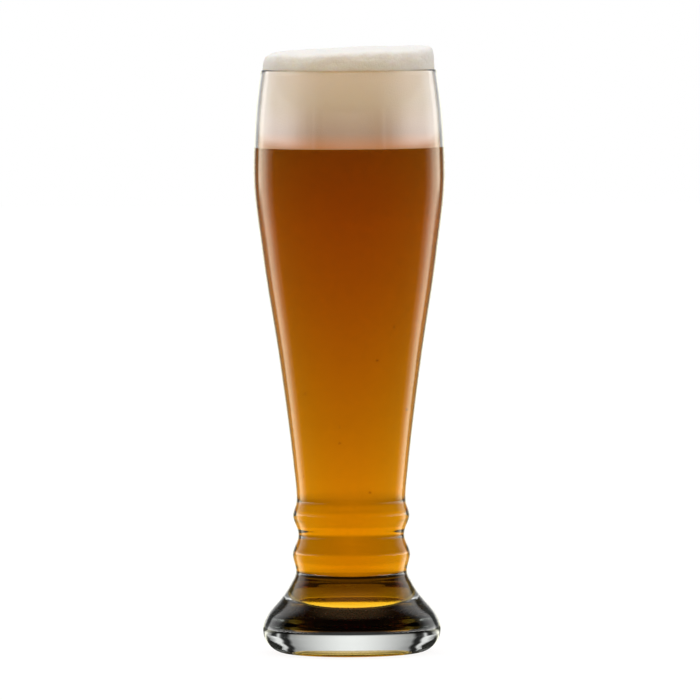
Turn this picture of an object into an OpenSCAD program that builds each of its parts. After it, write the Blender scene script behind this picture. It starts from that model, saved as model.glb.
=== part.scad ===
// A tall tapered wheat beer glass, poured full: one moulded glass with two grip rings and a
// solid flared foot, the beer in it, and the head of foam that stands above its rim.
// Lengths are in millimetres. +Z is up and the origin is the centre of the resting face.

/* [Foot] */
// Diameter of the foot at its widest
foot_d = 76.8; // [66:0.2:90]
// Radius of the foot's rounded edge, which is also the height of its widest place
foot_edge_r = 10.2; // [5:0.2:14]
// Height of the flare, from the foot's widest place up to the lower neck
flare_h = 25; // [18:0.5:40]
// Width of the flat ring that the foot rests on
rest_w = 4.2; // [2:0.2:10]
// Rise of the shallow hollow under the foot, at its centre
punt_h = 1.4; // [0.4:0.1:3]

/* [Grip rings] */
// Diameter of the lower neck, between the flare and the lower ring
lower_neck_d = 48; // [44:0.2:54]
// Diameter of the lower ring at its crest
lower_ring_d = 50.8; // [46:0.2:58]
// Height of the lower ring, from the lower neck up to the groove
lower_ring_h = 16; // [10:0.2:24]
// Diameter of the groove between the two rings
groove_d = 45.8; // [42:0.2:52]
// Diameter of the upper ring at its crest
upper_ring_d = 50.4; // [46:0.2:58]
// Height of the upper ring, from the groove up to the upper neck
upper_ring_h = 15.2; // [10:0.2:24]
// Diameter of the upper neck, above the upper ring
upper_neck_d = 47.2; // [44:0.2:54]

/* [Bowl] */
// Height of the tapered side, from the upper neck up to the widest place
side_h = 141.6; // [110:0.5:180]
// Diameter of the bowl at its widest
belly_d = 82.6; // [74:0.2:94]
// Height of the mouth, from the widest place up to the rim
mouth_h = 44; // [30:0.5:60]
// Diameter of the mouth at the rim, outside
mouth_d = 75.8; // [68:0.2:92]

/* [Walls] */
// Thickness of the wall at the rim, which is rounded over
rim_wall = 1.2; // [0.8:0.1:2.4]
// Thickness of the wall at the widest place
belly_wall = 1.6; // [1:0.1:3]
// Thickness of the wall at the upper neck
upper_neck_wall = 2.5; // [1.5:0.1:5]
// Thickness of the wall at the crest of either ring
ring_wall = 3.8; // [2:0.1:6]
// Thickness of the wall at the groove
groove_wall = 2.6; // [1.5:0.1:5]
// Thickness of the wall at the lower neck
lower_neck_wall = 3.6; // [2:0.1:8]
// Thickness of the solid foot, from the resting face up to the floor of the hollow
floor_t = 15.5; // [8:0.5:26]
// Diameter of the hollow just above its floor
floor_d = 41; // [30:0.5:46]
// Radius of the corner between the floor of the hollow and its side
floor_corner_r = 5; // [1:0.5:8]

/* [Drink] */
// Height of the foam inside the glass, from the beer up to the rim
head_h = 33.6; // [15:0.2:60]
// Height of the foam's crown above the rim, at its centre
crown_h = 7.8; // [4:0.2:16]
// Rise of the crown's high side above its centre, and fall of its low side
crown_lean = 2.4; // [0:0.1:4]
// Height of the waves on the crown
crown_wave = 0.6; // [0:0.1:1.5]
// Gap between the crown and the rounded rim
crown_gap = 0.2; // [0.1:0.05:0.6]
// Depth to which the crown is rooted in the foam below the rim
crown_root = 3; // [1.5:0.1:6]

/* [Hidden] */
$fn = 96;

// Where each ring's crest lies, as a share of that ring's height
lower_crest_share = 0.46;
upper_crest_share = 0.54;
// The flare, from the foot's widest place to the lower neck: shares of its height and of its narrowing
flare_z_shares = [0.22, 0.57, 0.79];
flare_r_shares = [0.12, 0.6, 0.85];
// The side, from the upper neck to the widest place: shares of its height and of its widening
side_z_shares = [0.1, 0.42, 0.75];
side_r_shares = [0.068, 0.392, 0.795];
// The mouth, from the widest place to the rim: share of its height and of its narrowing
mouth_z_share = 0.5;
mouth_r_share = 0.26;
// The crown from its skirt to its top: shares of its radius and of its height
crown_r_shares = [1, 1.012, 1.016, 1.006, 0.985, 0.95, 0.86, 0.6, 0.3];
crown_z_shares = [0, 0.14, 0.36, 0.62, 0.82, 0.94, 0.99, 1, 1];
// Direction in which the crown leans up, seen from above and measured from +X
crown_lean_dir = 28;
// Waves round the crown, counted in two overlapping sets
crown_waves = [3, 5];
// Sides round the crown, and steps along each stretch of a curve or an arc
crown_sides = 48;
curve_steps = 7;
arc_steps = 12;

// Heights above the table, from the foot up
lower_neck_z = foot_edge_r + flare_h;
lower_ring_z = lower_neck_z + lower_ring_h * lower_crest_share;
groove_z = lower_neck_z + lower_ring_h;
upper_ring_z = groove_z + upper_ring_h * upper_crest_share;
upper_neck_z = groove_z + upper_ring_h;
belly_z = upper_neck_z + side_h;
rim_z = belly_z + mouth_h;
rim_r = rim_wall / 2;
lip_z = rim_z - rim_r;
beer_z = rim_z - head_h;
// The floor's corner takes at most half of the room below the lower neck
corner_r = min(floor_corner_r, (lower_neck_z - floor_t) / 2);

// A smooth curve through stations [height, radius]: it has no overshoot, because its slope at
// a station is the harmonic mean of the slopes on both sides, or nothing at a crest or groove.
function slope_between(s, i) = (s[i + 1][1] - s[i][1]) / (s[i + 1][0] - s[i][0]);

function mean_slope(a, b) = a * b <= 0 ? 0 : 2 * a * b / (a + b);

function slope_at(s, i) =
    i == 0 ? 0
    : i < len(s) - 1 ? mean_slope(slope_between(s, i - 1), slope_between(s, i))
    : (3 * slope_between(s, i - 1) - slope_between(s, i - 2)) / 2;

function hermite(a, b, slope_a, slope_b, t) =
    a * (1 + 2 * t) * pow(1 - t, 2) + b * (3 - 2 * t) * t * t
    + slope_a * t * pow(1 - t, 2) - slope_b * t * t * (1 - t);

function curve_point(s, i, t) =
    let (h = s[i + 1][0] - s[i][0])
    [hermite(s[i][1], s[i + 1][1], slope_at(s, i) * h, slope_at(s, i + 1) * h, t), s[i][0] + h * t];

function curve_points(s) = concat(
    [for (i = [0 : len(s) - 2]) for (k = [0 : curve_steps - 1]) curve_point(s, i, k / curve_steps)],
    [[s[len(s) - 1][1], s[len(s) - 1][0]]]
);

function arc_points(centre, r, from_a, to_a) =
    [for (k = [0 : arc_steps])
        let (a = from_a + (to_a - from_a) * k / arc_steps)
        centre + r * [cos(a), sin(a)]];

function mix(a, b, share) = a + (b - a) * share;

function stations_between(a, b, z_shares, r_shares) =
    [for (i = [0 : len(z_shares) - 1])
        [mix(a[0], b[0], z_shares[i]), mix(a[1], b[1], r_shares[i])]];

// Named places on the outside: [height, radius]
foot_at = [foot_edge_r, foot_d / 2];
lower_neck_at = [lower_neck_z, lower_neck_d / 2];
lower_ring_at = [lower_ring_z, lower_ring_d / 2];
groove_at = [groove_z, groove_d / 2];
upper_ring_at = [upper_ring_z, upper_ring_d / 2];
upper_neck_at = [upper_neck_z, upper_neck_d / 2];
belly_at = [belly_z, belly_d / 2];
lip_at = [lip_z, mouth_d / 2];

flare_stations = stations_between(foot_at, lower_neck_at, flare_z_shares, flare_r_shares);
ring_stations = [lower_neck_at, lower_ring_at, groove_at, upper_ring_at, upper_neck_at];
side_stations = stations_between(upper_neck_at, belly_at, side_z_shares, side_r_shares);
mouth_stations = stations_between(belly_at, lip_at, [mouth_z_share], [mouth_r_share]);
wall_stations = concat(ring_stations, side_stations, [belly_at], mouth_stations, [lip_at]);

// Thickness of the wall by height
wall_table = [
    [lower_neck_z, lower_neck_wall], [lower_ring_z, ring_wall], [groove_z, groove_wall],
    [upper_ring_z, ring_wall], [upper_neck_z, upper_neck_wall], [belly_z, belly_wall], [lip_z, rim_wall]
];

// The hollow's side follows the outside, one wall thickness in
hollow_stations = concat(
    [[floor_t + corner_r, floor_d / 2]],
    [for (s = wall_stations) [s[0], s[1] - lookup(s[0], wall_table)]]
);
mouth_inner_r = mouth_d / 2 - rim_wall;

// Outlines from the axis outwards and up: [radius, height]
rest_outer_r = foot_d / 2 - foot_edge_r;
rest_inner_r = rest_outer_r - rest_w;
underside_points = [for (k = [0 : arc_steps])
    let (u = k / arc_steps)
    [rest_inner_r * u, punt_h * (1 - u * u)]];
foot_edge_points = arc_points([rest_outer_r, foot_edge_r], foot_edge_r, -90, 0);
outside_points = curve_points(concat([foot_at], flare_stations, wall_stations));
rim_points = arc_points([mouth_d / 2 - rim_r, lip_z], rim_r, 0, 180);
floor_corner_points = arc_points([floor_d / 2 - corner_r, floor_t + corner_r], corner_r, -90, 0);
hollow_points = concat([[0, floor_t]], floor_corner_points, curve_points(hollow_stations));

// A list without its first and its last point, which its neighbours have already
function inner_part(points) = [for (i = [1 : len(points) - 2]) points[i]];

function reversed(points) = [for (i = [len(points) - 1 : -1 : 0]) points[i]];

function without_last(points) = [for (i = [0 : len(points) - 2]) points[i]];

// The space inside the glass, up to where the rim rounds over
module hollow() {
    rotate_extrude()
        polygon(concat(hollow_points, [[0, lip_z]]));
}

// The space between two heights, wider than the glass
module level_band(from_z, to_z) {
    translate([0, 0, from_z])
        cylinder(h = to_z - from_z, d = max(belly_d, mouth_d));
}

// Height of the crown above the rim at a share u of its radius, in the direction a
function crown_rise(u, a) =
    crown_h
    + crown_lean * u * cos(a - crown_lean_dir)
    + crown_wave * u * u * (sin(crown_waves[0] * a) + cos(crown_waves[1] * a)) / len(crown_waves);

// The crown's rings of points, from its flat root up to the last ring round its top
crown_r = mouth_inner_r - crown_gap;
crown_turns = [for (k = [0 : crown_sides - 1]) 360 * k / crown_sides];
crown_root_ring = [for (a = crown_turns) [crown_r * cos(a), crown_r * sin(a), lip_z - crown_root]];
crown_top_rings = [for (i = [0 : len(crown_r_shares) - 1]) for (a = crown_turns)
    let (u = crown_r_shares[i])
    [crown_r * u * cos(a), crown_r * u * sin(a), rim_z + crown_gap + crown_rise(u, a) * crown_z_shares[i]]];
crown_peak = [0, 0, rim_z + crown_gap + crown_rise(0, 0)];
crown_points = concat(crown_root_ring, crown_top_rings, [crown_peak]);
crown_last_ring = len(crown_r_shares) * crown_sides;

module crown() {
    side_faces = [for (i = [0 : len(crown_r_shares) - 1]) for (k = [0 : crown_sides - 1])
        let (a = i * crown_sides + k, b = i * crown_sides + (k + 1) % crown_sides)
        each [[a, a + crown_sides, b + crown_sides], [a, b + crown_sides, b]]];
    peak_faces = [for (k = [0 : crown_sides - 1])
        [crown_last_ring + k, len(crown_points) - 1, crown_last_ring + (k + 1) % crown_sides]];
    root_face = [for (k = [0 : crown_sides - 1]) k];
    polyhedron(crown_points, concat([root_face], side_faces, peak_faces));
}

module glass() {
    color([0.84, 0.89, 0.87, 0.4])
        rotate_extrude()
            polygon(concat(
                underside_points, foot_edge_points, inner_part(outside_points),
                rim_points, reversed(without_last(hollow_points))
            ));
}

module beer() {
    color([0.58, 0.28, 0.02])
        intersection() {
            hollow();
            level_band(floor_t, beer_z);
        }
}

module foam_head() {
    color([0.9, 0.86, 0.77])
        union() {
            intersection() {
                hollow();
                level_band(beer_z, lip_z);
            }
            crown();
        }
}

glass();
beer();
foam_head();
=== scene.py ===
"""A poured wheat beer glass: clear moulded glass, amber beer and a head of foam, on a pale stage."""
import math

import bpy
from bpy.props import FloatProperty, FloatVectorProperty, IntProperty, PointerProperty
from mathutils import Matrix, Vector, noise


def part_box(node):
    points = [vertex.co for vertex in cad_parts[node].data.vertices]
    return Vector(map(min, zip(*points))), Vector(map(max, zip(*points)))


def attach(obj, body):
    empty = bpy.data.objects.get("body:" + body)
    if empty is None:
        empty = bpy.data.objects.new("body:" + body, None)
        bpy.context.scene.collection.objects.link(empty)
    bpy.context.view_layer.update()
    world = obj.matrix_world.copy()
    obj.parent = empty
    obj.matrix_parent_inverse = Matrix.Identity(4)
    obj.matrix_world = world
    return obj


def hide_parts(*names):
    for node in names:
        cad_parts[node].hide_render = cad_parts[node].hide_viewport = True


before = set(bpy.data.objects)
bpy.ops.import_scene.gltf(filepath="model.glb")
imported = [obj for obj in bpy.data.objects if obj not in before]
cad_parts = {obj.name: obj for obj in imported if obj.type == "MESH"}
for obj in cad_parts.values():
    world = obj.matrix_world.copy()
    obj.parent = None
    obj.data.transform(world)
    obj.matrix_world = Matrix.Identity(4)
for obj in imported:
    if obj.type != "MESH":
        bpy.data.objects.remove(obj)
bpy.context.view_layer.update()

bl_info = {
    "name": "Weizen glass",
    "version": (1, 0, 0),
    "blender": (4, 5, 0),
    "location": "3D View > Sidebar > Weizen glass",
    "description": "Makes a poured wheat beer glass and its stage around the packed solids",
    "category": "Object",
}

MM = 0.001
BELLY_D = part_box("glass")[1].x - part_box("glass")[0].x
RIM_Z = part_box("glass")[1].z
FLOOR_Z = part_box("beer")[0].z
BEER_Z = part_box("beer")[1].z
FOAM_TOP_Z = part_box("foam_head")[1].z

# Where each ring's crest lies, as a share of that ring's height
LOWER_CREST_SHARE = 0.46
UPPER_CREST_SHARE = 0.54
# Places along the flare, the side and the mouth: shares of the height and of the change in radius
FLARE_SHARES = ((0.22, 0.12), (0.57, 0.6), (0.79, 0.85))
SIDE_SHARES = ((0.1, 0.068), (0.42, 0.392), (0.75, 0.795))
MOUTH_SHARES = ((0.5, 0.26),)
# The crown of foam from its skirt to its top: shares of its radius and of its height
CROWN_R_SHARES = (1, 0.997, 0.992, 0.984, 0.97, 0.935, 0.86, 0.6, 0.3, 0)
CROWN_Z_SHARES = (0, 0.2, 0.42, 0.64, 0.82, 0.94, 0.99, 1, 1, 1)
CROWN_STEPS = 10
# Direction of the crown's high side, and how many waves of each kind run round it
CROWN_LEAN_DIR = math.radians(28)
CROWN_WAVES = (3, 5)
# Roughness, spacing and number of the layers of noise that make the crown's lumps
LUMP_NOISE = (1.0, 2.0, 3)
# Lumps and bubbles grow to their full height over the lower part of the crown, by this factor
FROTH_GROWTH = 2
# Faces from the middle of the foam's underside to its edge
UNDERSIDE_STEPS = 12
# Places on the wall that lie nearer than this to the beer's level, or to the rim, are left out
LEVEL_MARGIN = 0.3 * MM
RIM_MARGIN = 2 * MM
# Bubbles in the beer: the turn from one to the next, then the least and the spread of their rise, of their
# reach from the axis and of their size, as shares
BUBBLE_TURN = 2.4
BUBBLE_RISE = (0.16, 0.5)
BUBBLE_REACH = (0.35, 0.5)
BUBBLE_SIZE = (0.6, 0.4)
# Step and count with which their reach and their size jump about within that spread
REACH_JUMPS = (5, 7)
SIZE_JUMPS = (3, 5)
# Faces from the top of a bubble to its bottom, and round it
BUBBLE_STEPS = 8
BUBBLE_SIDES = 16
# A point nearer to the axis than this lies on it
AXIS_R = 1e-9
# Edges that turn by more than this stay sharp
SHARP_EDGE = math.radians(50)

# How much a face between glass and drink mirrors, beside one between glass and air
WET_MIRROR = 0.0
# Name of the mark on the glass's points that says how dull they are: 1 where the drink wets them, a share on
# the outside of the rings and 0 elsewhere
DULL_MARK = "dull"
RING_DULL = 0.85
# Scuffs on the resting face: their fineness, the heights between which they end, and how rough they are
SCUFF_SCALE = 900.0
SCUFF_RISE = (0.1 * MM, 0.5 * MM)
SCUFF_ROUGHNESS = 0.5
# Fineness of the ripples that the mould leaves in the glass
RIPPLE_SCALE = 45.0
BUMP_STRENGTH = 0.5
# Where the beer's colours and the foam's colours lie, as shares of their heights; both ramps hold painted
# shade and light
BEER_SHARES = (0.34, 0.45, 0.85, 0.99)
FOAM_SHARES = (0, 0.16, 0.46, 0.73, 0.79, 1)
# Fine bubbles of the foam: their fineness, their height, and how far from their middles painted shade darkens
# the pits between them, how much and in which colour
CELL_SCALE = 1400.0
CELL_H = 0.12 * MM
PIT_STRETCH = (0.3, 0.8)
PIT_SHADE_SHARE = 0.1
PIT_SHADE_COLOUR = (0.62, 0.50, 0.38, 1)
# Wet and dry patches of the foam: their fineness, the stretch of the noise they take, and their roughness
PATCH_SCALE = 160.0
PATCH_STRETCH = (0.3, 0.7)
PATCH_ROUGHNESS = (0.55, 0.85)
# Light that scatters inside the foam: its share, its colour and how far it goes
SCATTER_SHARE = 0.6
SCATTER_TINT = (1.0, 0.8, 0.6)
SCATTER_REACH = 4 * MM


def length(name, description, millimetres):
    """A property for a length, with its default in millimetres."""
    return FloatProperty(
        name=name, description=description, default=millimetres * MM, precision=5,
        subtype="DISTANCE", unit="LENGTH",
    )


def number(name, description, default, **limits):
    """A property for a plain number."""
    return FloatProperty(name=name, description=description, default=default, precision=3, **limits)


def angle(name, description, degrees):
    """A property for an angle, with its default in degrees."""
    return FloatProperty(
        name=name, description=description, default=math.radians(degrees), subtype="ANGLE", unit="ROTATION",
    )


def count(name, description, default):
    """A property for a whole number."""
    return IntProperty(name=name, description=description, default=default, min=1)


def tint(name, description, colour):
    """A property for a colour."""
    return FloatVectorProperty(
        name=name, description=description, default=colour, size=3, min=0, max=4, subtype="COLOR",
    )


class GlassSizes(bpy.types.PropertyGroup):
    """Sizes and finish of the moulded glass"""

    foot_d: length("Foot diameter", "Diameter of the foot at its widest", 76.8)
    foot_edge_r: length("Foot edge radius", "Radius of the foot's rounded edge", 10.2)
    flare_h: length("Flare height", "From the foot's widest place up to the lower neck", 25)
    rest_w: length("Rest width", "Width of the flat ring that the foot rests on", 4.2)
    punt_h: length("Punt rise", "Rise of the shallow hollow under the foot", 1.4)
    lower_neck_d: length("Lower neck diameter", "Between the flare and the lower ring", 48)
    lower_ring_d: length("Lower ring diameter", "Diameter of the lower ring at its crest", 50.8)
    lower_ring_h: length("Lower ring height", "From the lower neck up to the groove", 16)
    groove_d: length("Groove diameter", "Diameter of the groove between the rings", 45.8)
    upper_ring_d: length("Upper ring diameter", "Diameter of the upper ring at its crest", 50.4)
    upper_ring_h: length("Upper ring height", "From the groove up to the upper neck", 15.2)
    upper_neck_d: length("Upper neck diameter", "Above the upper ring", 47.2)
    belly_d: length("Belly diameter", "Diameter of the bowl at its widest", BELLY_D / MM)
    rim_z: length("Rim height", "Height of the rim above the table", RIM_Z / MM)
    mouth_h: length("Mouth height", "From the widest place up to the rim", 44)
    mouth_d: length("Mouth diameter", "Diameter of the mouth at the rim, outside", 75.8)
    rim_wall: length("Rim wall", "Thickness of the wall at the rounded rim", 1.2)
    belly_wall: length("Belly wall", "Thickness of the wall at the widest place", 1.6)
    upper_neck_wall: length("Upper neck wall", "Thickness of the wall at the upper neck", 2.5)
    ring_wall: length("Ring wall", "Thickness of the wall at the crest of a ring", 3.8)
    groove_wall: length("Groove wall", "Thickness of the wall at the groove", 2.6)
    lower_neck_wall: length("Lower neck wall", "Thickness of the wall at the lower neck", 3.6)
    floor_t: length("Foot thickness", "From the table up to the floor of the hollow", FLOOR_Z / MM)
    floor_d: length("Floor diameter", "Diameter of the hollow just above its floor", 41)
    floor_corner_r: length("Floor corner", "Radius between the floor of the hollow and its side", 5)
    sides: count("Sides", "Faces round the glass", 192)
    curve_steps: count("Curve steps", "Faces along each stretch of the side", 12)
    arc_steps: count("Arc steps", "Faces along each rounded edge", 14)
    ior: number("Refraction", "Index of refraction of the glass", 1.5, min=1, max=2)
    tint: tint("Tint", "Colour that thick glass shows", (0.70, 0.73, 0.70))
    tint_density: number("Tint density", "Absorption for each metre of glass", 12)
    ripple_h: length("Ripple height", "Height of the faint ripples that the mould leaves", 0.02)


class DrinkSizes(bpy.types.PropertyGroup):
    """Sizes and finish of the beer and its foam"""

    beer_z: length("Beer level", "Height of the beer above the table", BEER_Z / MM)
    wetting: length("Wetting", "How far the beer reaches into the wall, so that no air lies between", 0.08)
    foam_gap: length("Foam gap", "Film of air between the foam and the wall", 0.06)
    crown_top_z: length("Crown top", "Highest place of the foam", FOAM_TOP_Z / MM)
    crown_h: length("Crown height", "Height of the foam above the rim, at its centre", 8.4)
    crown_lean: length("Crown lean", "Rise of the crown's high side above its centre", 1.7)
    crown_wave: length("Crown waves", "Height of the waves on the crown", 0.4)
    crown_turn: angle("Crown turn", "How far round the rim's top the foam lies, from its outside", 115)
    crown_gap: length("Crown gap", "Gap between the crown and the rounded rim", 0.04)
    lump_h: length("Lump height", "Height of the lumps on the crown", 0.7)
    lump_w: length("Lump width", "Width of the lumps on the crown", 13)
    froth_h: length("Froth height", "Height of the bubbles on the crown", 0.22)
    froth_w: length("Froth width", "Width of the bubbles on the crown", 1.7)
    foam_sides: count("Foam sides", "Faces round the foam", 480)
    bubbles: count("Bubbles", "Bubbles that rise in the beer", 14)
    bubble_r: length("Bubble radius", "Radius of the largest bubble in the beer", 0.45)
    ior: number("Refraction", "Index of refraction of the beer", 1.34, min=1, max=2)
    beer_colour: tint("Beer", "Colour that the beer lets through", (0.893, 0.78, 0.0))
    beer_density: number("Beer density", "Absorption for each metre of beer", 150)
    # The beer's colours by height are painted shade: golden low down and darker towards the foam
    beer_low: tint("Low beer", "Colour of the beer in the foot and the rings", (1.0, 0.65, 0.08))
    beer_mid: tint("Middle beer", "Colour of the beer above the rings", (0.86, 0.575, 0.06))
    beer_high: tint("High beer", "Colour of the beer in the bowl", (0.72, 0.455, 0.04))
    beer_top: tint("Top beer", "Colour of the beer under the foam", (0.52, 0.369, 0.031))
    # The foam's colours by height are partly real wetness and partly painted light and shade: a painted
    # orange glow by the beer, browner and darker in the glass, near white on the crown where more light falls
    foam_edge: tint("Foam edge", "Colour of the foam that lies on the beer", (0.77, 0.385, 0.19))
    foam_low: tint("Low foam", "Colour of the wet foam above that edge", (0.60, 0.48, 0.42))
    foam_mid: tint("Middle foam", "Colour of the foam halfway up to the rim", (0.765, 0.69, 0.59))
    foam_high: tint("High foam", "Colour of the foam just under the rim", (0.85, 0.77, 0.68))
    foam_rim: tint("Rim foam", "Colour of the foam at the rim", (0.97, 0.95, 0.9))
    foam_top: tint("Top foam", "Colour of the dry foam on top", (0.98, 0.97, 0.95))


class StageSettings(bpy.types.PropertyGroup):
    """Camera, light and floor round the glass"""

    camera_y: length("Camera distance", "How far in front of the glass the camera stands", 4100)
    camera_z: length("Camera height", "Height of the camera above the table", 325)
    aim_z: length("Aim height", "Height at which the camera aims", 130.8)
    aim_x: length("Aim offset", "Sideways offset of the camera and its aim", -0.1)
    frame_w: length("Frame width", "Width that the picture shows at the glass", 302.4)
    roll: angle("Roll", "Roll of the camera", -0.34)
    floor_half: length("Floor half width", "Half the width of the floor", 6000)
    floor_drop: length("Floor drop", "How far the floor lies under the foot, so that they do not merge", 0.1)
    front_light: tint("Front light", "Soft light from the front", (0.60, 0.39, 0.13))
    side_light: tint("Side light", "Soft light from both sides", (0.95, 0.95, 0.95))
    back_light: tint("Back light", "Soft light from behind", (0.95, 0.95, 0.95))
    top_light: tint("Top light", "Soft light from above", (1.1, 1.1, 1.1))
    backlight: number("Backlight", "Strength of the white backdrop seen through glass", 1.22)
    strip_light: number("Strip light", "Strength of the two strip lights behind the glass", 2.8)


def slope_between(stations, i):
    """Slope of the straight line from one station to the next."""
    (xa, ya), (xb, yb) = stations[i], stations[i + 1]
    return (yb - ya) / (xb - xa)


def slope_at(stations, i):
    """Slope at a station: the harmonic mean of both sides, or none at a crest or a groove."""
    last = len(stations) - 1
    if i == 0:
        return 0.0
    if i == last:
        return (3 * slope_between(stations, last - 1) - slope_between(stations, last - 2)) / 2
    before, after = slope_between(stations, i - 1), slope_between(stations, i)
    return 0.0 if before * after <= 0 else 2 * before * after / (before + after)


def curve(stations, steps):
    """Points (radius, height) of a smooth curve through stations (height, radius)."""
    points = []
    for i, ((za, ra), (zb, rb)) in enumerate(zip(stations, stations[1:])):
        rise = zb - za
        lean_a, lean_b = slope_at(stations, i) * rise, slope_at(stations, i + 1) * rise
        for k in range(steps):
            t = k / steps
            back = 1 - t
            r = (ra * (1 + 2 * t) + lean_a * t) * back ** 2 + (rb * (3 - 2 * t) - lean_b * back) * t ** 2
            points.append((r, za + rise * t))
    points.append((stations[-1][1], stations[-1][0]))
    return points


def arc(centre_r, centre_z, radius, start, end, steps):
    """Points (radius, height) of an arc, with its angles in degrees."""
    turns = [math.radians(start + (end - start) * k / steps) for k in range(steps + 1)]
    return [(centre_r + radius * math.cos(a), centre_z + radius * math.sin(a)) for a in turns]


def between(start, end, shares):
    """Stations between two places, at shares of the height and of the change in radius."""
    return [
        (start[0] + (end[0] - start[0]) * z, start[1] + (end[1] - start[1]) * r)
        for z, r in shares
    ]


def wall_at(walls, height):
    """Thickness of the wall at a height, from (height, thickness) rows."""
    for (low, thin), (high, thick) in zip(walls, walls[1:]):
        if height <= high:
            return thin + (thick - thin) * (height - low) / (high - low)
    return walls[-1][1]


def radius_at(outline, height):
    """Radius of an outline that only rises, at a height."""
    for (ra, za), (rb, zb) in zip(outline, outline[1:]):
        if za <= height <= zb:
            return ra + (rb - ra) * (height - za) / (zb - za)
    raise ValueError("the outline does not reach that height")


def glass_stations(s):
    """Places on the outside of the glass and on the hollow's side, as (height, radius)."""
    lower_neck_z = s.foot_edge_r + s.flare_h
    groove_z = lower_neck_z + s.lower_ring_h
    upper_neck_z = groove_z + s.upper_ring_h
    belly_z = s.rim_z - s.mouth_h
    foot = (s.foot_edge_r, s.foot_d / 2)
    lower_neck = (lower_neck_z, s.lower_neck_d / 2)
    lower_ring = (lower_neck_z + s.lower_ring_h * LOWER_CREST_SHARE, s.lower_ring_d / 2)
    groove = (groove_z, s.groove_d / 2)
    upper_ring = (groove_z + s.upper_ring_h * UPPER_CREST_SHARE, s.upper_ring_d / 2)
    upper_neck = (upper_neck_z, s.upper_neck_d / 2)
    belly = (belly_z, s.belly_d / 2)
    lip = (s.rim_z - s.rim_wall / 2, s.mouth_d / 2)
    wall_stations = [
        lower_neck, lower_ring, groove, upper_ring, upper_neck,
        *between(upper_neck, belly, SIDE_SHARES), belly, *between(belly, lip, MOUTH_SHARES), lip,
    ]
    walls = [
        (lower_neck[0], s.lower_neck_wall), (lower_ring[0], s.ring_wall), (groove[0], s.groove_wall),
        (upper_ring[0], s.ring_wall), (upper_neck[0], s.upper_neck_wall), (belly[0], s.belly_wall),
        (lip[0], s.rim_wall),
    ]
    outside = [foot, *between(foot, lower_neck, FLARE_SHARES), *wall_stations]
    hollow = [(s.floor_t + s.floor_corner_r, s.floor_d / 2)]
    hollow += [(z, r - wall_at(walls, z)) for z, r in wall_stations]
    return outside, hollow


def hollow_outline(s, grow=0.0):
    """The hollow from the middle of its floor up to the lip, grown outwards by a film."""
    corner = s.floor_corner_r
    floor_r = s.floor_d / 2 - corner
    floor = arc(floor_r, s.floor_t + corner, corner + grow, -90, 0, s.arc_steps)
    side = curve(glass_stations(s)[1], s.curve_steps)
    return [(0.0, s.floor_t - grow), *floor[:-1], *((r + grow, z) for r, z in side)]


def glass_outline(s):
    """The whole section of the glass, from the axis under the foot round to the hollow's floor."""
    rest_outer = s.foot_d / 2 - s.foot_edge_r
    rest_inner = rest_outer - s.rest_w
    steps = s.arc_steps
    under = [(rest_inner * k / steps, s.punt_h * (1 - (k / steps) ** 2)) for k in range(steps + 1)]
    edge = arc(rest_outer, s.foot_edge_r, s.foot_edge_r, -90, 0, steps)
    outside = curve(glass_stations(s)[0], s.curve_steps)
    rim_r = s.rim_wall / 2
    rim = arc(s.mouth_d / 2 - rim_r, s.rim_z - rim_r, rim_r, 0, 180, steps)
    return [*under, *edge[:-1], *outside[:-1], *rim[:-1], *reversed(hollow_outline(s))]


def lathe(outline, sides, centre=(0.0, 0.0, 0.0)):
    """Points and faces turned round an upright axis from an outline of (radius, height)."""
    turns = [2 * math.pi * k / sides for k in range(sides)]
    points, rings, faces = [], [], []
    for r, z in outline:
        around = turns if r > AXIS_R else turns[:1]
        rings.append(range(len(points), len(points) + len(around)))
        points += [(centre[0] + r * math.cos(a), centre[1] + r * math.sin(a), centre[2] + z) for a in around]
    for low, high in zip(rings, rings[1:]):
        for k in range(sides):
            after = (k + 1) % sides
            corners = (low[k % len(low)], low[after % len(low)], high[after % len(high)], high[k % len(high)])
            faces.append(tuple(dict.fromkeys(corners)))
    return points, faces


def piece(name, points, faces, finish, node):
    """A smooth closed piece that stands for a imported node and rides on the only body."""
    mesh = bpy.data.meshes.new(name)
    mesh.from_pydata(points, [], faces)
    mesh.validate()
    mesh.shade_smooth()
    mesh.set_sharp_from_angle(angle=SHARP_EDGE)
    mesh.materials.append(finish)
    made = bpy.data.objects.new(name, mesh)
    bpy.context.scene.collection.objects.link(made)
    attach(made, "root")
    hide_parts(node)
    return made


def material(name):
    """A material with its node tree, its shader and its output."""
    made = bpy.data.materials.new(name)
    made.use_nodes = True
    tree = made.node_tree
    return made, tree, tree.nodes["Principled BSDF"], tree.nodes["Material Output"]


def add(tree, kind, inputs=None, **settings):
    """A node with its settings, and its inputs linked or set by name."""
    made = tree.nodes.new(kind)
    for name, value in settings.items():
        setattr(made, name, value)
    for name, value in (inputs or {}).items():
        if isinstance(value, bpy.types.NodeSocket):
            tree.links.new(value, made.inputs[name])
        else:
            made.inputs[name].default_value = value
    return made


def calc(tree, operation, a, b=0.0, c=0.0, clamp=False):
    """A Math node's output."""
    return add(tree, "ShaderNodeMath", {0: a, 1: b, 2: c}, operation=operation, use_clamp=clamp).outputs[0]


def fade(tree, value, start, end, low=0.0, high=1.0):
    """A smooth step from one level to another."""
    inputs = {"Value": value, "From Min": start, "From Max": end, "To Min": low, "To Max": high}
    made = add(tree, "ShaderNodeMapRange", inputs, interpolation_type="SMOOTHSTEP")
    return made.outputs["Result"]


def blend(tree, factor, a, b):
    """A colour mixed from two others."""
    made = add(tree, "ShaderNodeMix", data_type="RGBA")
    for socket, value in ((made.inputs[0], factor), (made.inputs[6], a), (made.inputs[7], b)):
        if isinstance(value, bpy.types.NodeSocket):
            tree.links.new(value, socket)
        else:
            socket.default_value = value
    return made.outputs[2]


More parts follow.
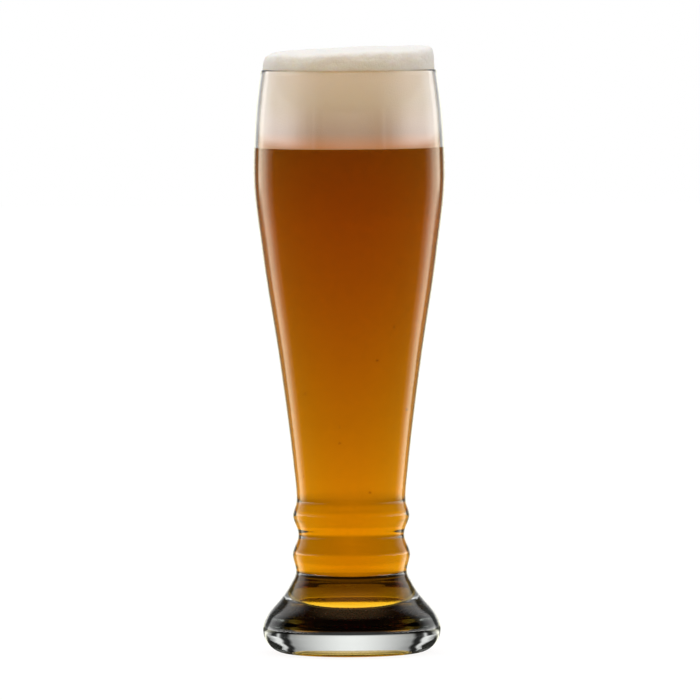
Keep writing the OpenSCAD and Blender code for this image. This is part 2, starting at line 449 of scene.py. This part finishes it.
def ramp(tree, value, stops):
    """A colour ramp through (position, colour) stops."""
    made = add(tree, "ShaderNodeValToRGB", {"Fac": value})
    elements = made.color_ramp.elements
    elements.remove(elements[1])
    elements[0].position, elements[0].color = stops[0]
    for position, colour in stops[1:]:
        elements.new(position).color = colour
    return made.outputs["Color"]


def grey(level):
    """A neutral colour."""
    return (level, level, level, 1)


def clear_glass(s):
    """Polished moulded glass with a faint tint where it is thick. Next to a liquid it hardly mirrors."""
    made, tree, shader, output = material("polished_glass")
    shader.inputs["Base Color"].default_value = (1, 1, 1, 1)
    shader.inputs["IOR"].default_value = s.ior
    shader.inputs["Transmission Weight"].default_value = 1
    place = add(tree, "ShaderNodeTexCoord").outputs["Object"]
    height = add(tree, "ShaderNodeSeparateXYZ", {"Vector": place}).outputs["Z"]
    scuffs = add(tree, "ShaderNodeTexNoise", {"Vector": place, "Scale": SCUFF_SCALE, "Detail": 2.0})
    worn = fade(tree, height, *SCUFF_RISE, SCUFF_ROUGHNESS, 0.0)
    worn = calc(tree, "MULTIPLY", worn, scuffs.outputs["Fac"])
    tree.links.new(worn, shader.inputs["Roughness"])
    ripples = add(tree, "ShaderNodeTexNoise", {"Vector": place, "Scale": RIPPLE_SCALE, "Detail": 1.0})
    bump = add(
        tree, "ShaderNodeBump",
        {"Strength": BUMP_STRENGTH, "Distance": s.ripple_h, "Height": ripples.outputs["Fac"]},
    )
    tree.links.new(bump.outputs["Normal"], shader.inputs["Normal"])
    dull = add(tree, "ShaderNodeAttribute", attribute_name=DULL_MARK).outputs["Fac"]
    tree.links.new(blend(tree, dull, grey(1), grey(WET_MIRROR)), shader.inputs["Specular Tint"])
    inside = add(tree, "ShaderNodeVolumeAbsorption", {"Color": (*s.tint, 1), "Density": s.tint_density})
    tree.links.new(inside.outputs[0], output.inputs["Volume"])
    return made


def amber_beer(s):
    """Clear amber beer. Its colour by height is painted shade: golden at the bottom and darker towards the
    top, under the foam.
    """
    made, tree, shader, output = material("clear_beer")
    place = add(tree, "ShaderNodeTexCoord").outputs["Object"]
    height = add(tree, "ShaderNodeSeparateXYZ", {"Vector": place}).outputs["Z"]
    level = calc(tree, "DIVIDE", height, s.beer_z)
    # Painted shade: the beer's colour darkens from the foot up to the foam
    layers = zip(BEER_SHARES, (s.beer_low, s.beer_mid, s.beer_high, s.beer_top))
    colour = ramp(tree, level, [(at, (*c, 1)) for at, c in layers])
    tree.links.new(colour, shader.inputs["Base Color"])
    shader.inputs["Specular Tint"].default_value = grey(WET_MIRROR)
    shader.inputs["Roughness"].default_value = 0
    shader.inputs["IOR"].default_value = s.ior
    shader.inputs["Transmission Weight"].default_value = 1
    inside = add(
        tree, "ShaderNodeVolumeAbsorption", {"Color": (*s.beer_colour, 1), "Density": s.beer_density},
    )
    tree.links.new(inside.outputs[0], output.inputs["Volume"])
    return made


def beer_foam(s):
    """Matt cream foam of fine bubbles, wetter next to the beer. Its colour by height is partly painted light
    and shade:
    a painted orange glow of light through the beer at its edge, browner and darker in the glass, near white
    on the crown.
    """
    made, tree, shader, _ = material("cream_foam")
    place = add(tree, "ShaderNodeTexCoord").outputs["Object"]
    height = add(tree, "ShaderNodeSeparateXYZ", {"Vector": place}).outputs["Z"]
    level = add(
        tree, "ShaderNodeMapRange", {"Value": height, "From Min": s.beer_z, "From Max": s.crown_top_z},
    ).outputs["Result"]
    cells = add(tree, "ShaderNodeTexVoronoi", {"Vector": place, "Scale": CELL_SCALE})
    patches = add(tree, "ShaderNodeTexNoise", {"Vector": place, "Scale": PATCH_SCALE, "Detail": 3.0})
    # Painted light and shade: orange glow by the beer, darker in the glass, lighter on the crown
    tints = (s.foam_edge, s.foam_low, s.foam_mid, s.foam_high, s.foam_rim, s.foam_top)
    layers = zip(FOAM_SHARES, tints)
    colour = ramp(tree, level, [(at, (*c, 1)) for at, c in layers])
    # Painted shade in the pits between the bubbles
    pit_shade = fade(tree, cells.outputs["Distance"], *PIT_STRETCH, 0.0, PIT_SHADE_SHARE)
    colour = blend(tree, pit_shade, colour, PIT_SHADE_COLOUR)
    tree.links.new(colour, shader.inputs["Base Color"])
    rough = fade(tree, patches.outputs["Fac"], *PATCH_STRETCH, *PATCH_ROUGHNESS)
    tree.links.new(rough, shader.inputs["Roughness"])
    shader.inputs["Subsurface Weight"].default_value = SCATTER_SHARE
    shader.inputs["Subsurface Radius"].default_value = SCATTER_TINT
    shader.inputs["Subsurface Scale"].default_value = SCATTER_REACH
    bump = add(
        tree, "ShaderNodeBump",
        {"Strength": BUMP_STRENGTH, "Distance": CELL_H, "Height": cells.outputs["Distance"]}, invert=True,
    )
    tree.links.new(bump.outputs["Normal"], shader.inputs["Normal"])
    return made


class WEIZEN_OT_glass(bpy.types.Operator):
    """Make the moulded glass with its rings and solid foot"""

    bl_idname = "weizen.glass"
    bl_label = "Glass"

    def execute(self, context):
        s, d = context.scene.weizen_glass, context.scene.weizen_drink
        points, faces = lathe(glass_outline(s), s.sides)
        made = piece("moulded_glass", points, faces, clear_glass(s), "glass")
        outer = len(points) - len(lathe(hollow_outline(s), s.sides)[0])
        rings_low = s.foot_edge_r + s.flare_h
        rings_high = rings_low + s.lower_ring_h + s.upper_ring_h
        skin = [RING_DULL * (rings_low <= z <= rings_high) for _, _, z in points[:outer]]
        skin += [float(z <= d.beer_z) for _, _, z in points[outer:]]
        made.data.attributes.new(DULL_MARK, "FLOAT", "POINT").data.foreach_set("value", skin)
        return {"FINISHED"}


def scatter(k, step, out_of):
    """A share that jumps about as k counts up."""
    return k * step % out_of / out_of


def bubble(k, side, s, d):
    """Points and faces of one bubble in the beer."""
    turn = k * BUBBLE_TURN
    height = s.floor_t + (d.beer_z - s.floor_t) * (BUBBLE_RISE[0] + BUBBLE_RISE[1] * k / d.bubbles)
    off = radius_at(side, height) * (BUBBLE_REACH[0] + BUBBLE_REACH[1] * scatter(k, *REACH_JUMPS))
    size = d.bubble_r * (BUBBLE_SIZE[0] + BUBBLE_SIZE[1] * scatter(k, *SIZE_JUMPS))
    tilts = [math.pi * i / BUBBLE_STEPS for i in range(1, BUBBLE_STEPS)]
    ball = [(0.0, size), *((size * math.sin(a), size * math.cos(a)) for a in tilts), (0.0, -size)]
    return lathe(ball, BUBBLE_SIDES, (off * math.cos(turn), off * math.sin(turn), height))


class WEIZEN_OT_beer(bpy.types.Operator):
    """Make the beer that fills the hollow, with a few rising bubbles in it"""

    bl_idname = "weizen.beer"
    bl_label = "Beer"

    def execute(self, context):
        s, d = context.scene.weizen_glass, context.scene.weizen_drink
        side = hollow_outline(s, d.wetting)
        filled = [point for point in side if point[1] < d.beer_z - LEVEL_MARGIN]
        level_r = radius_at(side, d.beer_z)
        points, faces = lathe([*filled, (level_r, d.beer_z), (0.0, d.beer_z)], s.sides)
        for k in range(d.bubbles):
            more_points, more_faces = bubble(k, side, s, d)
            faces += [tuple(i + len(points) for i in face) for face in more_faces]
            points += more_points
        piece("poured_beer", points, faces, amber_beer(d), "beer")
        return {"FINISHED"}


def crown_height(d, share_r, share_z, turn):
    """Height of the plain crown over its skirt, leaning to one side with long waves round it."""
    wave = (math.sin(CROWN_WAVES[0] * turn) + math.cos(CROWN_WAVES[1] * turn)) / len(CROWN_WAVES)
    lean = d.crown_lean * share_r * math.cos(turn - CROWN_LEAN_DIR)
    return (d.crown_h + lean + d.crown_wave * share_r ** 2 * wave) * share_z


def froth(d, place):
    """How far lumps and bubbles push a place of the crown out."""
    lumps = noise.fractal(place / d.lump_w, *LUMP_NOISE)
    nearest = noise.voronoi(place / d.froth_w)[0][0]
    return d.lump_h * lumps + d.froth_h * max(0.0, 1 - nearest ** 2)


class WEIZEN_OT_foam(bpy.types.Operator):
    """Make the head of foam, with its lumpy crown above the rim"""

    bl_idname = "weizen.foam"
    bl_label = "Foam"

    def execute(self, context):
        s, d = context.scene.weizen_glass, context.scene.weizen_drink
        rim_r = s.rim_wall / 2
        lip_z = s.rim_z - rim_r
        side = hollow_outline(s, -d.foam_gap)
        under_z = d.beer_z - d.wetting
        under_r = radius_at(side, under_z)
        plug = [(under_r * k / UNDERSIDE_STEPS, under_z) for k in range(UNDERSIDE_STEPS + 1)]
        plug += [point for point in side if under_z + LEVEL_MARGIN < point[1] < lip_z - RIM_MARGIN]
        turned = math.degrees(d.crown_turn)
        plug += arc(s.mouth_d / 2 - rim_r, lip_z, rim_r + d.crown_gap, 180, turned, s.arc_steps)
        crown_r, skirt_z = plug.pop()
        radii = curve(list(enumerate(CROWN_R_SHARES)), CROWN_STEPS)
        heights = curve(list(enumerate(CROWN_Z_SHARES)), CROWN_STEPS)
        shares = [(max(r, 0.0), z) for (r, _), (z, _) in zip(radii, heights)]
        plain = [(r * crown_r, skirt_z + z * d.crown_h) for r, z in shares]
        points, faces = lathe([*plug, *plain], d.foam_sides)
        places = [share for share in shares for _ in range(d.foam_sides if share[0] > AXIS_R else 1)]
        first = len(points) - len(places)
        crown = []
        for (x, y, _), (share_r, share_z) in zip(points[first:], places):
            place = Vector((x, y, skirt_z + crown_height(d, share_r, share_z, math.atan2(y, x))))
            outward = Vector((x * share_r / crown_r, y * share_r / crown_r, share_z)).normalized()
            crown.append(place + outward * froth(d, place) * min(1.0, FROTH_GROWTH * share_z))
        reach = max(place.z for place in crown) - skirt_z
        fit = (d.crown_top_z - skirt_z) / reach
        crown = [(p.x, p.y, skirt_z + (p.z - skirt_z) * fit) for p in crown]
        piece("lumpy_foam", points[:first] + crown, faces, beer_foam(d), "foam_head")
        return {"FINISHED"}


# Strip lights in mirrors: strength by angle from the line of sight, far off and on the near floor
FAR_STRIPS = (
    (0, 0.5), (18, 0.45), (23, 0.12), (27, 0.05), (35, 0.05), (41, 0.95), (46, 0.95), (58, 0.66),
    (66, 0.22), (76, 0.01),
)
NEAR_STRIPS = (
    (0, 0.4), (18, 0.4), (23, 0.07), (41, 0.07), (47, 0.72), (52, 0.76), (58, 0.6), (66, 0.22), (76, 0.01),
)
# The floor's strips turn from near to far between these metres from the axis
STRIP_REACH = (1.0, 3.5)
# Their colour, which turns white between these heights in degrees
STRIP_TINT = (1.06, 1.05, 0.86)
TINT_RISE = (0.0, 3.0)
# They fade to a share of their strength between these heights in degrees
STRIP_RISE = (3.0, 10.0)
STRIP_HIGH = 0.45
# Low windows at both sides: strength by angle from the line of sight, and share by the tilt in degrees that a
# mirror needs to show them along a line of sight that falls by this slope
WINDOWS = (
    (18, 0), (25, 0.15), (34, 0.15), (41, 0.35), (50, 0.5), (58, 0.8), (66, 1.2), (82, 1.4), (98, 1.5),
    (108, 1.25), (118, 0.7), (128, 0.35), (144, 0),
)
WINDOW_TILT = ((2.2, 0), (2.7, 1), (3.4, 0.9), (5.8, 0.5), (7.5, 0.4), (9, 0.3), (12, 0))
SIGHT_FALL = 0.016
# Dim warm ceiling: where it begins and is full, in degrees, and its colour
CEILING_RISE = (50.0, 75.0)
CEILING = (0.55, 0.33, 0.14, 1)
# Soft light along the line of sight: shares at which it is front, side and back light
SOFT_SHARES = (0.125, 0.4, 0.65, 0.85)
# It turns to top light between these upward parts
TOP_RISE = (0.25, 0.65)
# Height over the floor from which the floor's soft light is reckoned
SOFT_HEIGHT = 200 * MM
# White backdrop: the heights in degrees between which it turns dark, seen through the drink and through bare
# glass, and the level of that dark
DRINK_RISE = (20.0, 22.0)
BARE_RISE = (6.0, 8.0)
DARK_LEVEL = 0.04
# Through the drink it grows between these heights in degrees, from one level to another
DRINK_GAIN = (5.5, 9.0, 1.0, 1.2)
# Soft box over the back: where it begins, is full, fades and ends, in degrees, its level, and the parts along
# the line of sight between which it comes in
BOX_RISE = (25.5, 28.5, 54.0, 60.0)
BOX_LEVEL = 1.35
BOX_BEHIND = (0.1, 0.3)
# Backdrop and floor by the turn in degrees from the nearest of the four sides: far off and on the near floor,
# seen through the drink, and everywhere, seen through bare glass, where dark bars edge the foot
DRINK_FAR = ((0, 1), (10, 0.98), (18, 0.93), (26, 0.89), (30, 0.94), (34, 1.02), (40, 1.1), (45, 1.1))
# The near floor seen through the drink is dimmer: a painted shadow of the glass
DRINK_NEAR = ((0, 0.77), (16, 0.62), (24, 0.57), (36, 0.52), (60, 0.7))
BARE_SIDES = (
    (0, 0.96), (5, 0.92), (10, 0.82), (15, 0.7), (20, 0.58), (25, 0.47), (29, 0.38), (32, 0.34), (34.5, 0.09),
    (36, 0.02), (40, 0.02), (42, 0.08), (44, 0.5), (46, 0.88), (54, 0.96), (61, 0.7), (75, 0.5),
)
# The near floor turns into the far one between these places, as logarithms of the metres from the axis
LOG_REACH = (math.log10(0.3), math.log10(5))
# Near the foot those turns are taken round a place this far from the axis
NEAR_CENTRE = 55 * MM
# Painted shadow on the floor under the foot: where it lightens, from which level to which, and where it ends
UNDER_REACH = (29 * MM, 37 * MM)
UNDER_LEVEL = (0.02, 0.24)
UNDER_END = (56 * MM, 68 * MM)
# The floor's own colour and finish, its level in the camera's eye, and how much of that no shadow darkens
FLOOR_COLOUR = (0.9, 0.9, 0.9, 1)
FLOOR_ROUGHNESS = 0.8
FLOOR_LEVEL = 1.06
FLOOR_PLAIN = 0.85
# Light that goes through fewer faces than this met glass alone
BARE_FACES = 2.5
# Light that is mirrored more often than this inside the glass is dimmed to a share, less behind bare glass
INNER_MIRRORS = 2.5
INNER_SHARE = 0.08
BARE_INNER_SHARE = 0.5
# How often light may bounce in all, go through glass, be mirrored and be scattered
BOUNCES = {"max_bounces": 32, "transmission_bounces": 32, "glossy_bounces": 12, "diffuse_bounces": 8}
# Farthest place that the camera sees, in metres
CLIP_END = 100


def profile(tree, value, stops):
    """A grey level through (value, level) stops, straight between them."""
    low, high = stops[0][0], stops[-1][0]
    span = {"Value": value, "From Min": low, "From Max": high}
    at = add(tree, "ShaderNodeMapRange", span).outputs["Result"]
    return ramp(tree, at, [((v - low) / (high - low), grey(level)) for v, level in stops])


def degrees(tree, radians):
    """An angle in degrees."""
    return calc(tree, "MULTIPLY", radians, 180 / math.pi)


def four_sides(tree, place):
    """How far a place lies beside the nearest of the four axes, and how far along it."""
    parts = add(tree, "ShaderNodeSeparateXYZ", {"Vector": place}).outputs
    x, y = calc(tree, "ABSOLUTE", parts["X"]), calc(tree, "ABSOLUTE", parts["Y"])
    return calc(tree, "MINIMUM", x, y), calc(tree, "MAXIMUM", x, y)


def vectors(tree, kind, *values):
    """The result of a sum on colours or vectors."""
    return add(tree, "ShaderNodeVectorMath", dict(enumerate(values)), operation=kind).outputs["Vector"]


def strips(tree, place, stops, light):
    """Strip lights or windows, by a place's angle from the line of sight."""
    parts = add(tree, "ShaderNodeSeparateXYZ", {"Vector": place}).outputs
    aside = degrees(tree, calc(tree, "ARCTAN2", calc(tree, "ABSOLUTE", parts["X"]), parts["Y"]))
    return calc(tree, "MULTIPLY", profile(tree, aside, stops), light)


def soft_light(tree, s, along, up):
    """Soft light from a direction, by its parts along the line of sight and upwards."""
    at = calc(tree, "MULTIPLY_ADD", along, 0.5, 0.5)
    level = zip(SOFT_SHARES, (s.front_light, s.side_light, s.side_light, s.back_light))
    around = ramp(tree, at, [(place, (*colour, 1)) for place, colour in level])
    return blend(tree, fade(tree, up, *TOP_RISE), around, (*s.top_light, 1))


def ray_kinds(tree, behind):
    """Whether a ray is the camera's, goes through glass, is mirrored, lights, or goes through glass alone.

    Each of these is 0 or 1. The last result is how strong the ray still is after mirrors inside the glass.
    Behind is 1 where the ray ends behind the glass and 0 in front of it.
    """
    path = add(tree, "ShaderNodeLightPath").outputs
    through = path["Is Transmission Ray"]
    mirror = calc(tree, "SUBTRACT", path["Is Glossy Ray"], through, clamp=True)
    lights = calc(tree, "GREATER_THAN", path["Diffuse Depth"], 0.5)
    bare = calc(tree, "LESS_THAN", path["Transmission Depth"], BARE_FACES)
    inner = calc(tree, "SUBTRACT", path["Ray Depth"], path["Transmission Depth"])
    many = calc(tree, "GREATER_THAN", inner, INNER_MIRRORS)
    kept = calc(tree, "MULTIPLY", bare, behind)
    loss = calc(tree, "MULTIPLY_ADD", kept, BARE_INNER_SHARE - INNER_SHARE, INNER_SHARE - 1)
    left = calc(tree, "MULTIPLY_ADD", many, loss, 1.0)
    return path["Is Camera Ray"], through, mirror, lights, bare, left


def window_share(tree, parts):
    """How much of the windows a mirror shows, by the tilt it needs to send the line of sight that way."""
    apart = calc(tree, "SQRT", calc(tree, "MULTIPLY_ADD", parts["Y"], -2.0, 2.0))
    tilt = calc(tree, "DIVIDE", calc(tree, "ADD", parts["Z"], SIGHT_FALL), apart)
    return profile(tree, degrees(tree, calc(tree, "ARCSINE", tilt)), WINDOW_TILT)


def studio_world(context, s):
    """A white band all round with a dark band above it, a soft box over the back, and strip lights."""
    world = bpy.data.worlds.new("studio")
    context.scene.world = world
    world.use_nodes = True
    tree = world.node_tree
    direction = add(tree, "ShaderNodeTexCoord").outputs["Generated"]
    parts = add(tree, "ShaderNodeSeparateXYZ", {"Vector": direction}).outputs
    behind = calc(tree, "GREATER_THAN", parts["Y"], 0.0)
    camera, _, mirror, lights, bare, left = ray_kinds(tree, behind)
    rise = degrees(tree, calc(tree, "ARCSINE", parts["Z"]))
    beside, along = four_sides(tree, direction)
    turn = degrees(tree, calc(tree, "ARCTAN2", beside, along))
    box_in, box_full, box_fades, box_out = BOX_RISE
    box = fade(tree, rise, box_fades, box_out, BOX_LEVEL, 0.0)
    box = calc(tree, "MULTIPLY", box, fade(tree, rise, box_in, box_full))
    box = calc(tree, "MULTIPLY", box, fade(tree, parts["Y"], *BOX_BEHIND))
    white = fade(tree, rise, *DRINK_RISE, 1.0, DARK_LEVEL)
    white = calc(tree, "MULTIPLY", white, fade(tree, rise, *DRINK_GAIN))
    drink = calc(tree, "MULTIPLY_ADD", white, profile(tree, turn, DRINK_FAR), box)
    alone = fade(tree, rise, *BARE_RISE, 1.0, DARK_LEVEL)
    alone = calc(tree, "MULTIPLY", alone, profile(tree, turn, BARE_SIDES))
    seen = blend(tree, bare, drink, alone)
    seen = calc(tree, "MULTIPLY", seen, calc(tree, "MULTIPLY", left, s.backlight))
    mirrored = strips(tree, direction, FAR_STRIPS, s.strip_light)
    mirrored = calc(tree, "MULTIPLY", mirrored, fade(tree, rise, *STRIP_RISE, 1.0, STRIP_HIGH))
    windows = strips(tree, direction, WINDOWS, s.strip_light)
    windows = calc(tree, "MULTIPLY", windows, window_share(tree, parts))
    warm = blend(tree, fade(tree, rise, *TINT_RISE), (*STRIP_TINT, 1), grey(1))
    mirrored = vectors(tree, "MULTIPLY_ADD", mirrored, warm, windows)
    mirrored = blend(tree, fade(tree, rise, *CEILING_RISE), mirrored, CEILING)
    colour = blend(tree, mirror, seen, mirrored)
    colour = blend(tree, lights, colour, soft_light(tree, s, parts["Y"], parts["Z"]))
    colour = blend(tree, camera, colour, grey(1))
    tree.links.new(colour, tree.nodes["Background"].inputs["Color"])


def pale_floor(s):
    """A white floor that keeps a soft shadow, has a painted shadow round the foot where glass sees it, and is
    dim where it mirrors.
    """
    made, tree, shader, output = material("pale_floor")
    shader.inputs["Base Color"].default_value = FLOOR_COLOUR
    shader.inputs["Roughness"].default_value = FLOOR_ROUGHNESS
    place = add(tree, "ShaderNodeNewGeometry").outputs["Position"]
    ahead = add(tree, "ShaderNodeSeparateXYZ", {"Vector": place}).outputs["Y"]
    behind = calc(tree, "GREATER_THAN", ahead, 0.0)
    camera, through, mirror, lights, bare, left = ray_kinds(tree, behind)
    reach = add(tree, "ShaderNodeVectorMath", {0: place}, operation="LENGTH").outputs["Value"]
    beside, along = four_sides(tree, place)
    turn = degrees(tree, calc(tree, "ARCTAN2", beside, along))
    near_turn = calc(tree, "ARCTAN2", beside, calc(tree, "SUBTRACT", along, NEAR_CENTRE))
    near_turn = degrees(tree, near_turn)
    nearest, farthest = LOG_REACH
    span = {"Value": calc(tree, "LOGARITHM", reach, 10.0), "From Min": nearest, "From Max": farthest}
    far_off = add(tree, "ShaderNodeMapRange", span).outputs["Result"]
    # Seen through the drink the near floor is dimmer, a painted shadow of the glass
    drink = blend(tree, far_off, profile(tree, near_turn, DRINK_NEAR), profile(tree, turn, DRINK_FAR))
    seen = blend(tree, bare, drink, profile(tree, near_turn, BARE_SIDES))
    # Painted shadow of the glass on the floor under the foot
    under = fade(tree, reach, *UNDER_REACH, *UNDER_LEVEL)
    seen = blend(tree, fade(tree, reach, *UNDER_END), under, seen)
    seen = calc(tree, "MULTIPLY", seen, calc(tree, "MULTIPLY", left, s.backlight))
    near_strips = strips(tree, place, NEAR_STRIPS, s.strip_light)
    far_strips = strips(tree, place, FAR_STRIPS, s.strip_light)
    mirrored = blend(tree, fade(tree, reach, *STRIP_REACH), near_strips, far_strips)
    colour = blend(tree, mirror, seen, vectors(tree, "MULTIPLY", mirrored, STRIP_TINT))
    slant = calc(tree, "SQRT", calc(tree, "MULTIPLY_ADD", reach, reach, SOFT_HEIGHT ** 2))
    colour = blend(tree, lights, colour, soft_light(tree, s, calc(tree, "DIVIDE", ahead, slant), 0.0))
    colour = blend(tree, camera, colour, grey(FLOOR_LEVEL))
    glow = add(tree, "ShaderNodeEmission", {"Color": colour})
    plain = calc(tree, "MULTIPLY", camera, FLOOR_PLAIN)
    for kind in (through, mirror, lights):
        plain = calc(tree, "MAXIMUM", plain, kind)
    mixed = add(tree, "ShaderNodeMixShader", {0: plain, 1: shader.outputs[0], 2: glow.outputs[0]})
    tree.links.new(mixed.outputs[0], output.inputs["Surface"])
    return made


class WEIZEN_OT_stage(bpy.types.Operator):
    """Make the floor, the light and the camera"""

    bl_idname = "weizen.stage"
    bl_label = "Stage"

    def execute(self, context):
        s = context.scene.weizen_stage
        scene = context.scene
        half = s.floor_half
        mesh = bpy.data.meshes.new("floor")
        corners = [(-half, -half), (half, -half), (half, half), (-half, half)]
        mesh.from_pydata([(x, y, -s.floor_drop) for x, y in corners], [], [(0, 1, 2, 3)])
        mesh.materials.append(pale_floor(s))
        floor = bpy.data.objects.new("floor", mesh)
        scene.collection.objects.link(floor)
        studio_world(context, s)
        camera = bpy.data.objects.new("camera", bpy.data.cameras.new("camera"))
        scene.collection.objects.link(camera)
        camera.location = (s.aim_x, -s.camera_y, s.camera_z)
        sight = Vector((s.aim_x, 0, s.aim_z)) - camera.location
        turn = sight.to_track_quat("-Z", "Y").to_euler()
        turn.rotate_axis("Z", s.roll)
        camera.rotation_euler = turn
        camera.data.lens = camera.data.sensor_width * sight.length / s.frame_w
        camera.data.clip_end = CLIP_END
        scene.camera = camera
        scene.view_settings.view_transform = "Standard"
        for name, most in BOUNCES.items():
            setattr(scene.cycles, name, most)
        scene.cycles.blur_glossy = 0
        return {"FINISHED"}


class WEIZEN_PT_panel(bpy.types.Panel):
    """Lists the pieces and the stage"""

    bl_idname = "WEIZEN_PT_panel"
    bl_label = "Weizen glass"
    bl_space_type = "VIEW_3D"
    bl_region_type = "UI"
    bl_category = "Weizen glass"

    def draw(self, context):
        for step in STEPS:
            self.layout.operator(step.bl_idname)


STEPS = (WEIZEN_OT_glass, WEIZEN_OT_beer, WEIZEN_OT_foam, WEIZEN_OT_stage)
GROUPS = {"weizen_glass": GlassSizes, "weizen_drink": DrinkSizes, "weizen_stage": StageSettings}
CLASSES = (*GROUPS.values(), *STEPS, WEIZEN_PT_panel)


def register():
    """Registers the classes and hangs the sizes on the scene."""
    for kind in CLASSES:
        bpy.utils.register_class(kind)
    for name, group in GROUPS.items():
        setattr(bpy.types.Scene, name, PointerProperty(type=group))


def unregister():
    """Takes the sizes off the scene and unregisters the classes."""
    for name in GROUPS:
        delattr(bpy.types.Scene, name)
    for kind in reversed(CLASSES):
        bpy.utils.unregister_class(kind)


def main():
    """Makes every piece and the stage."""
    register()
    bpy.ops.weizen.glass()
    bpy.ops.weizen.beer()
    bpy.ops.weizen.foam()
    bpy.ops.weizen.stage()


if __name__ == "__main__":
    main()
